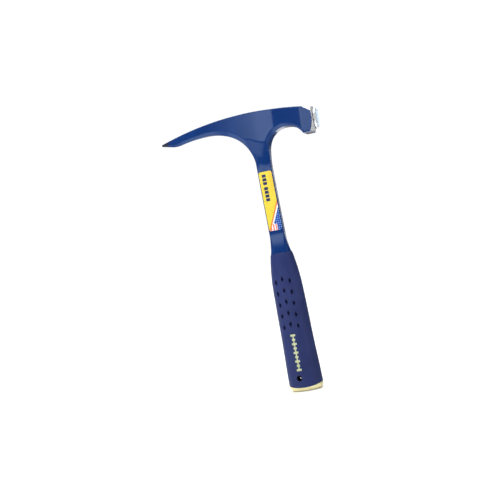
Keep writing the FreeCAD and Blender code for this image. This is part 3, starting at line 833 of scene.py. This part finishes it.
def make_scuffs():
    """Scuffs: where a stretched noise passes a threshold, fine short lines appear."""
    group, given, wanted = new_group("scuffs", [("Amount", 0.3)], "Mask")
    stretched = put(group, "ShaderNodeVectorMath",
                    {0: given["Place"], 1: (0.35, 0.35, 2.6)}, operation="MULTIPLY")
    lines = put(group, "ShaderNodeTexNoise",
                {"Vector": stretched.outputs[0], "Scale": 1.1, "Detail": 4.0, "Roughness": 0.7})
    peaks = ramp(group, lines.outputs[0], 0.62, 0.75)
    group.links.new(times(group, peaks, given["Amount"]), wanted["Mask"])
    return group


GRAIN = make_grain()
DRIFT = make_drift()
SCUFFS = make_scuffs()


def use(tree, group, where, output, **inputs):
    """Places a group in a material and gives its output."""
    node = put(tree, "ShaderNodeGroup", node_tree=group)
    tree.links.new(where, node.inputs["Place"])
    for label, value in inputs.items():
        node.inputs[label.replace("_", " ")].default_value = value
    return node.outputs[output]


def bump(tree, shader, height, strength, distance):
    """Feeds a height in millimetres into the shader's normal."""
    node = put(tree, "ShaderNodeBump",
               {"Height": height, "Strength": strength, "Distance": distance * MM})
    tree.links.new(node.outputs[0], shader.inputs["Normal"])


# %% [markdown]
# ## Blue enamel and bare steel
# The forging is dipped in deep blue enamel up to the poll, where the face and its bevel are turned
# bright again.  Both finishes are one material, because the border between them is exactly the
# edge of the turned cone.  The mask is worked out from that cone, so it is as sharp as the cut.

# %% The forging's finish
def forging_finish():
    material, tree, shader = finish("blue_enamel")
    where, x, y, z = place(tree)
    past_x = less(tree, x, FACE_X)
    past_z = less(tree, z, FACE_Z)
    up = add(tree, times(tree, past_x, math.sin(FACE_TILT)), times(tree, past_z, math.cos(FACE_TILT)))
    back = less(tree, times(tree, past_z, math.sin(FACE_TILT)),
                times(tree, past_x, math.cos(FACE_TILT)))
    from_axis = sums(tree, "SQRT", add(tree, times(tree, up, up), times(tree, y, y)))
    behind = less(tree, back, RIM_DEPTH)
    steep = add(tree, FACE_RADIUS, times(tree, behind, BEVEL_SLOPE))
    gentle = add(tree, CORNER_RADIUS, times(tree, behind, CORNER_SLOPE))
    # below the axis only the steep bevel counts, so the gentle cone is put out of reach
    below = times(tree, sums(tree, "LESS_THAN", up, 0.0), 100.0)
    radius = sums(tree, "MINIMUM", steep, add(tree, gentle, below))
    on_cone = ramp(tree, less(tree, from_axis, radius), -0.28, -0.16)
    on_face = sums(tree, "LESS_THAN", behind, 0.1)
    near_face = sums(tree, "LESS_THAN", behind, 14.5)
    bare = times(tree, sums(tree, "MAXIMUM", on_cone, on_face), near_face)
    painted = less(tree, 1.0, bare)

    # enamel: a deep blue that drifts a little in tone
    drift = use(tree, DRIFT, where, "Share", Per_millimetre=0.03)
    enamel = mix(tree, drift, (0.003, 0.025, 0.138, 1), (0.004, 0.031, 0.156, 1))
    at_tip = ramp(tree, x, -108.0, -115.5)
    enamel = mix(tree, at_tip, enamel, (0.020, 0.022, 0.035, 1))

    # bare steel: fine turning rings about the poll's axis
    rings = put(tree, "ShaderNodeTexNoise", {"W": from_axis, "Scale": 5.0, "Detail": 2.0},
                noise_dimensions="1D").outputs[0]
    # a thin ring where the rounded rim meets the steep bevel is mixed to dark grey: a painted dark
    # reflection of the rim
    rim = less(tree, 1.0, ramp(tree, sums(tree, "ABSOLUTE", behind), 0.3, 0.6))
    steel = mix(tree, rings, (0.92, 0.93, 0.94, 1), (0.97, 0.98, 0.99, 1))
    steel = mix(tree, rim, steel, (0.20, 0.21, 0.24, 1))
    enamel_rough = add(tree, 0.14, use(tree, SCUFFS, where, "Mask", Amount=0.10))
    steel_rough = add(tree, 0.24, times(tree, rings, 0.16))
    rough = add(tree, times(tree, enamel_rough, painted), times(tree, steel_rough, bare))
    feed(tree, shader, {
        "Base Color": mix(tree, bare, enamel, steel), "Metallic": times(tree, bare, 0.5),
        "Roughness": rough, "Coat Weight": times(tree, painted, 0.6), "Coat Roughness": 0.07,
        "IOR": 1.5, "Specular Tint": (0.35, 0.65, 1.0, 1)})
    peel = use(tree, GRAIN, where, "Height", Per_millimetre=0.45, Depth=1.0)
    height = add(tree, times(tree, peel, painted), times(tree, rings, 0.08, bare))
    bump(tree, shader, height, 0.12, 0.12)
    return material


# %% [markdown]
# ## Vinyl, cap and label
# The grip is matt moulded vinyl with a very fine leathery grain.  The cap and the inlaid mark are
# a satin cream plastic.  The label is a glossy film: its print is drawn by comparing x and z with
# the edges of plain blocks, bands and dots, and every block here is a generic one.

# %% The grip's finish
def vinyl_finish():
    material, tree, shader = finish("blue_vinyl")
    where, x, _, z = place(tree)
    drift = use(tree, DRIFT, where, "Share", Per_millimetre=0.045)
    base = mix(tree, drift, (0.010, 0.022, 0.118, 1), (0.013, 0.027, 0.138, 1))
    scuffs = use(tree, SCUFFS, where, "Mask", Amount=0.2)
    base = mix(tree, scuffs, base, (0.04, 0.06, 0.25, 1))
    # the pockets and the wall of the lanyard hole are darker: no light reaches them
    sunk = put(tree, "ShaderNodeAttribute", attribute_name="sunk").outputs["Fac"]
    from_x = less(tree, x, HOLE_X)
    from_z = less(tree, z, HOLE_Z)
    from_hole = sums(tree, "SQRT", add(tree, times(tree, from_x, from_x),
                                       times(tree, from_z, from_z)))
    in_hole = sums(tree, "LESS_THAN", from_hole, HOLE_RADIUS + 0.15)
    dark = sums(tree, "MAXIMUM", times(tree, sunk, 0.85), in_hole)
    base = mix(tree, dark, base, (0.001, 0.002, 0.012, 1))
    feed(tree, shader, {
        "Base Color": base, "Roughness": add(tree, 0.46, times(tree, drift, 0.08)),
        "Specular IOR Level": less(tree, 0.5, times(tree, dark, 0.5)), "Sheen Weight": 0.03})
    cells = put(tree, "ShaderNodeTexVoronoi", {"Vector": where, "Scale": 1.5},
                feature="SMOOTH_F1").outputs["Distance"]
    grain = use(tree, GRAIN, where, "Height", Per_millimetre=1.2, Depth=0.5)
    bump(tree, shader, add(tree, cells, grain), 0.3, 0.12)
    return material


# %% The cap's and the mark's finish
def cream_finish(name, light, dark, rough):
    material, tree, shader = finish(name)
    where, *_ = place(tree)
    drift = use(tree, DRIFT, where, "Share", Per_millimetre=0.12)
    scuffs = use(tree, SCUFFS, where, "Mask", Amount=0.15)
    grain = use(tree, GRAIN, where, "Height", Per_millimetre=1.5, Depth=1.0)
    bump(tree, shader, grain, 0.15, 0.06)
    feed(tree, shader, {
        "Base Color": mix(tree, drift, dark, light), "Roughness": add(tree, rough, scuffs),
        "Subsurface Weight": 0.1, "Subsurface Radius": (0.002, 0.0015, 0.001)})
    return material


# %% The label's print
YELLOW = (0.80, 0.64, 0.05, 1)
INK = (0.012, 0.020, 0.10, 1)
ORANGE = (0.80, 0.22, 0.03, 1)
WHITE = (0.88, 0.88, 0.86, 1)
FIELD = (0.006, 0.045, 0.36, 1)
DOTS = (0.30, 0.62, 0.95, 1)
PINK = (0.80, 0.16, 0.14, 1)
BLOCKS_LOW_Z = 223.9
BLOCK_STEP = 4.38
GAP_LOW_Z = 241.4
GAP_HIGH_Z = 243.1
SLANT = 2.2
SLANT_Z = 207.0
BAND = 4.0
STRIPE_STEP = 3.2
FOOT_TOP_Z = 197.0


def between(tree, value, low_value, high_value, soft=0.06):
    """1 where a value lies between two others."""
    rise = ramp(tree, value, low_value - soft, low_value + soft)
    fall = ramp(tree, value, high_value + soft, high_value - soft)
    return times(tree, rise, fall)


def label_finish():
    material, tree, shader = finish("label_film")
    where, x, y, z = place(tree)
    # on the back the print is turned round, so that it reads the same way
    across = times(tree, x, sums(tree, "SIGN", y), -1.0)
    tint = times(tree, ramp(tree, across, 2.2, 5.2), ramp(tree, z, 226.0, 244.0), 0.55)
    yellow = mix(tree, tint, YELLOW, (0.90, 0.50, 0.03, 1))
    # seven ink blocks stand where a title would, with a wider gap after the fourth
    above_gap = sums(tree, "GREATER_THAN", z, (GAP_LOW_Z + GAP_HIGH_Z) / 2)
    steps = less(tree, z, times(tree, above_gap, GAP_HIGH_Z - GAP_LOW_Z))
    steps = times(tree, less(tree, steps, BLOCKS_LOW_Z), 1 / BLOCK_STEP)
    blocks = times(tree, between(tree, across, -4.5, 0.3),
                   between(tree, sums(tree, "FRACT", steps), 0.1, 0.9, 0.03),
                   between(tree, steps, 0.0, 7.0, 0.01),
                   less(tree, 1.0, between(tree, z, GAP_LOW_Z, GAP_HIGH_Z, 0.02)))
    print_colour = mix(tree, blocks, yellow, INK)
    # two slanted bands cross the label, and a dotted field lies under them
    dots = put(tree, "ShaderNodeTexVoronoi",
               {"Vector": put(tree, "ShaderNodeCombineXYZ", {0: across, 1: z}).outputs[0],
                "Scale": 0.40, "Randomness": 0.0}, voronoi_dimensions="2D")
    field = mix(tree, ramp(tree, dots.outputs["Distance"], 0.25, 0.19), FIELD, DOTS)
    under_slant = add(tree, less(tree, times(tree, across, SLANT), z), SLANT_Z)
    for drop, colour in ((0.0, ORANGE), (BAND, WHITE), (2 * BAND, field)):
        edge = ramp(tree, under_slant, drop - 0.1, drop + 0.1)
        print_colour = mix(tree, edge, print_colour, colour)
    # narrow stripes fill the foot, below the first band
    stripes = between(tree, sums(tree, "FRACT", times(tree, across, 1 / STRIPE_STEP)),
                      0.25, 0.75, 0.03)
    foot = times(tree, ramp(tree, z, FOOT_TOP_Z + 0.1, FOOT_TOP_Z - 0.1),
                 ramp(tree, under_slant, BAND - 0.1, BAND + 0.1), ramp(tree, across, 3.1, 2.9))
    print_colour = mix(tree, foot, print_colour, mix(tree, stripes, WHITE, PINK))
    scuffs = use(tree, SCUFFS, where, "Mask", Amount=0.2)
    feed(tree, shader, {"Base Color": print_colour, "Roughness": add(tree, 0.30, scuffs),
                        "Coat Weight": 0.3, "Coat Roughness": 0.12})
    grain = use(tree, GRAIN, where, "Height", Per_millimetre=0.25, Depth=1.0)
    bump(tree, shader, grain, 0.1, 0.1)
    return material


# %% Give every piece its finish
enamel = forging_finish()
vinyl = vinyl_finish()
cream = cream_finish("cream_nylon", (0.90, 0.83, 0.48, 1), (0.84, 0.75, 0.38, 1), 0.42)
pale = cream_finish("mark_inlay", (0.56, 0.60, 0.37, 1), (0.50, 0.54, 0.31, 1), 0.45)
film = label_finish()
for piece, material, slot, node in (
        (forging, enamel, "blue_enamel", "steel_forging"),
        (grip, vinyl, "blue_vinyl", "vinyl_grip"),
        (cap, cream, "cream_nylon", "end_cap"),
        (mark_front, pale, "cream_nylon", "grip_mark_front"),
        (mark_back, pale, "cream_nylon", "grip_mark_back")):
    piece.data.materials.clear()
    piece.data.materials.append(material)
    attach(piece, "root")
    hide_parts(node)
for node, material in (("grip_core", vinyl), ("label_front", film), ("label_back", film)):
    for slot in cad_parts[node].material_slots:
        slot.material = material
print("finishes:", ", ".join(sorted(material.name for material in bpy.data.materials)))

# %% [markdown]
# ## Studio
# The floor is a plain pale sheet.  The light is what a product studio has: a white backdrop, a
# broad soft panel in front and to the left, dimmer sides, and darkness where the camera stands.
# The world is that studio, painted by compass direction, because gloss enamel shows it all.

# %% Floor
FLOOR_HALF = 40000.0
floor_edges = np.linspace(-FLOOR_HALF, FLOOR_HALF, 3)
floor_x, floor_y = np.meshgrid(floor_edges, floor_edges)
floor_mesh = bpy.data.meshes.new("floor")
floor_points = np.stack([floor_x, floor_y, np.full_like(floor_x, -0.05)], axis=-1).reshape(-1, 3)
floor_mesh.from_pydata((floor_points * MM).tolist(), [], grid_faces(3, 3).tolist())
floor = new_object("floor", floor_mesh)
paper, paper_tree, paper_shader = finish("pale_paper")
feed(paper_tree, paper_shader, {"Base Color": (0.93, 0.93, 0.93, 1), "Roughness": 0.9})
floor_mesh.materials.append(paper)
floor.visible_glossy = False

# %% The world as a studio
world = bpy.data.worlds.new("studio")
bpy.context.scene.world = world
world.use_nodes = True
sky = world.node_tree
sky.nodes.clear()
direction = put(sky, "ShaderNodeSeparateXYZ",
                {0: put(sky, "ShaderNodeTexCoord").outputs["Generated"]})
minus_y = times(sky, direction.outputs[1], -1.0)
compass = times(sky, sums(sky, "ARCTAN2", direction.outputs[0], minus_y), 180 / math.pi)
height = times(sky, sums(sky, "ARCSINE", direction.outputs[2]), 180 / math.pi)


def levels_by_angle(angle, stops):
    """A brightness that follows (degrees, level) stops from -180 to 180, through a colour ramp."""
    share = add(sky, times(sky, angle, 1 / 360), 0.5)
    node = put(sky, "ShaderNodeValToRGB", {0: share})
    elements = node.color_ramp.elements
    for element, (_, level) in zip(elements, (stops[0], stops[-1])):
        element.color = (level, level, level, 1)
    for degrees, level in stops[1:-1]:
        elements.new((degrees + 180) / 360).color = (level, level, level, 1)
    return node.outputs[0]


room = levels_by_angle(compass, [
    (-180, 0.12), (-150, 0.3), (-120, 0.7), (-95, 0.25), (-52, 0.06), (-45, 0.4), (-32, 0.45),
    (-29.5, 0.1), (-26, 0.07), (0, 0.04), (35, 0.04), (41, 0.5), (56, 0.5), (66, 0.12),
    (115, 0.1), (140, 0.06), (180, 0.06)])
back_panel = levels_by_angle(compass, [(-180, 1), (-170, 0), (166.8, 0), (168.5, 1), (180, 1)])
back_band = levels_by_angle(height, [(-180, 0), (-1, 0), (3, 1), (30, 1), (40, 0), (180, 0)])
panel = levels_by_angle(compass, [(-180, 0), (-27, 0), (-22, 0.4), (-17, 0.75), (-12.5, 0.8),
                                  (-10.5, 0.6), (-6, 0.4), (3, 0), (180, 0)])
panel_band = levels_by_angle(height, [(-180, 0), (2, 0), (6, 1), (13, 1), (18, 0), (180, 0)])
ceiling = levels_by_angle(height, [(-180, 0), (38, 0), (55, 0.9), (180, 0.9)])
low_left = levels_by_angle(compass, [(-180, 0.5), (-60, 0.4), (-24, 0.35), (-15, 0), (180, 0)])
low_band = levels_by_angle(height, [(-180, 0), (-50, 0), (-40, 1), (-12, 1), (-6, 0), (180, 0)])
ground = levels_by_angle(height, [(-180, 0.85), (-55, 0.85), (-42, 0.0), (180, 0)])
light = room
for softbox in (times(sky, panel, panel_band, 2.5), times(sky, back_panel, back_band, 3.4), ceiling,
                times(sky, low_left, low_band, 2.5), times(sky, ground, 1.6)):
    light = sums(sky, "MAXIMUM", light, softbox)
sky_light = put(sky, "ShaderNodeBackground", {"Color": light, "Strength": 1.0})
backdrop = put(sky, "ShaderNodeBackground", {"Color": (1, 1, 1, 1), "Strength": 1.05})
seen = put(sky, "ShaderNodeLightPath").outputs["Is Camera Ray"]
blend_sky = put(sky, "ShaderNodeMixShader", {0: seen, 1: sky_light.outputs[0],
                                             2: backdrop.outputs[0]})
put(sky, "ShaderNodeOutputWorld", {0: blend_sky.outputs[0]})

# %% Two soft lamps
KEY_PLACE = Vector((-1.1, -1.2, 1.0))
key = bpy.data.lights.new("key", "AREA")
key.energy = 14.0
key.size = 0.9
key_lamp = new_object("key", key)
key_lamp.location = KEY_PLACE
key_lamp.rotation_euler = (Vector((0, 0, 0.2)) - KEY_PLACE).to_track_quat("-Z", "Y").to_euler()
key_lamp.visible_glossy = False
overhead = bpy.data.lights.new("overhead", "SUN")
overhead.energy = 2.6
overhead.angle = math.radians(70)
new_object("overhead", overhead)

# %% [markdown]
# ## Camera
# The camera stands level, a little to the poll's side of the hammer, and is rolled so that the
# handle leans.  Its axes are written down directly: right, up and back.

# %% Camera
AZIMUTH = math.radians(16.0)
ROLL = math.radians(10.9)
TARGET = np.array([-0.0367, 0.0, 0.1726])
DISTANCE = 1.0658
level_right = np.array([math.cos(AZIMUTH), math.sin(AZIMUTH), 0])
upright = np.array([0.0, 0.0, 1.0])
back = np.array([math.sin(AZIMUTH), -math.cos(AZIMUTH), 0])
pose = np.eye(4)
pose[:3, 0] = math.cos(ROLL) * level_right - math.sin(ROLL) * upright
pose[:3, 1] = math.sin(ROLL) * level_right + math.cos(ROLL) * upright
pose[:3, 2] = back
pose[:3, 3] = TARGET + DISTANCE * back
lens = bpy.data.cameras.new("camera")
lens.lens = 65.0
lens.sensor_width = 36.0
camera = new_object("camera", lens)
camera.matrix_world = Matrix(pose.tolist())
bpy.context.scene.camera = camera
bpy.context.scene.view_settings.view_transform = "Standard"
